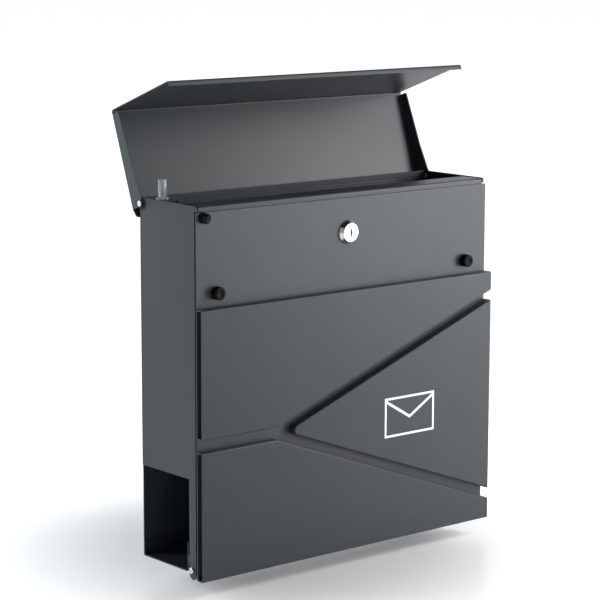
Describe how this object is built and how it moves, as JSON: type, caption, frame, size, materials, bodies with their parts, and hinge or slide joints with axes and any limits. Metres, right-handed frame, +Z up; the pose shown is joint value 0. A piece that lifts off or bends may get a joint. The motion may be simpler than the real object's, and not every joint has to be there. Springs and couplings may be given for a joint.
{
  "type": "wall mounted mailbox",
  "caption": "Wall mailbox in folded sheet steel: top lid hinged at the rear, front door hinged at the bottom behind raised slanted plates, open newspaper tunnel below.",
  "frame": {"origin": "centre of the four wall screw holes, on the rear faces of the wall spacers", "axes": "+Z up, +Y out of the back towards the wall, the door and plates face -Y, +X to the right seen from the front"},
  "size_m": [0.372, 0.1404, 0.4672],
  "materials": {
    "anthracite_paint": "satin powder coat",
    "black_nylon": "matt",
    "zinc_steel": "bright zinc plated",
    "chrome_lock": "polished",
    "clear_plastic": "clear moulded",
    "black_rubber": "matt",
    "white_print": "printed"
  },
  "bodies": {
    "body": {"body_shell": "anthracite_paint", "compartment_floor": "anthracite_paint", "bottom_panel": "anthracite_paint", "front_rail": "anthracite_paint", "rear_stiffener": "anthracite_paint", "spacer_top_left": "black_nylon", "spacer_top_right": "black_nylon", "spacer_bottom_left": "black_nylon", "spacer_bottom_right": "black_nylon", "lid_pin_left": "zinc_steel", "lid_pin_right": "zinc_steel", "lid_washer_left": "black_nylon", "lid_washer_right": "black_nylon", "door_pin_left": "zinc_steel", "door_pin_right": "zinc_steel", "door_washer_left": "black_nylon", "door_washer_right": "black_nylon", "damper_bracket": "anthracite_paint", "damper_housing": "clear_plastic"},
    "door": {"door_panel": "anthracite_paint", "door_stiffener_left": "anthracite_paint", "door_stiffener_right": "anthracite_paint", "upper_plate": "anthracite_paint", "middle_plate": "anthracite_paint", "lower_plate": "anthracite_paint", "envelope_sign": "white_print", "upper_studs": "zinc_steel", "middle_studs": "zinc_steel", "lower_studs": "zinc_steel", "upper_nuts": "zinc_steel", "middle_nuts": "zinc_steel", "lower_nuts": "zinc_steel", "bumper_left": "black_rubber", "bumper_right": "black_rubber", "corner_stop": "black_rubber", "lock_housing": "chrome_lock", "lock_nut": "zinc_steel"},
    "lock": {"lock_plug": "chrome_lock", "lock_cam": "zinc_steel", "cam_screw": "zinc_steel"},
    "lid": {"lid": "anthracite_paint"},
    "damper": {"damper_plunger": "clear_plastic"}
  },
  "joints": [
    {"name": "lid_hinge", "type": "hinge", "parent": "body", "child": "lid", "pos_m": [0, -0.0155, 0.1425], "axis": [1, 0, 0], "range_deg": [0, 110]},
    {"name": "door_hinge", "type": "hinge", "parent": "body", "child": "door", "pos_m": [0, -0.091, -0.198], "axis": [1, 0, 0], "range_deg": [0, 90]},
    {"name": "lock_turn", "type": "hinge", "parent": "door", "child": "lock", "pos_m": [0, -0.1005, 0.1085], "axis": [0, -1, 0], "range_deg": [0, 90]},
    {"name": "damper_slide", "type": "slide", "parent": "body", "child": "damper", "axis": [0, 0, -1], "range_m": [0, 0.013]}
  ],
  "couplings": [
    {"joint": "damper_slide", "follows": "lid_hinge", "m_per_rad": 0.0066}
  ]
}
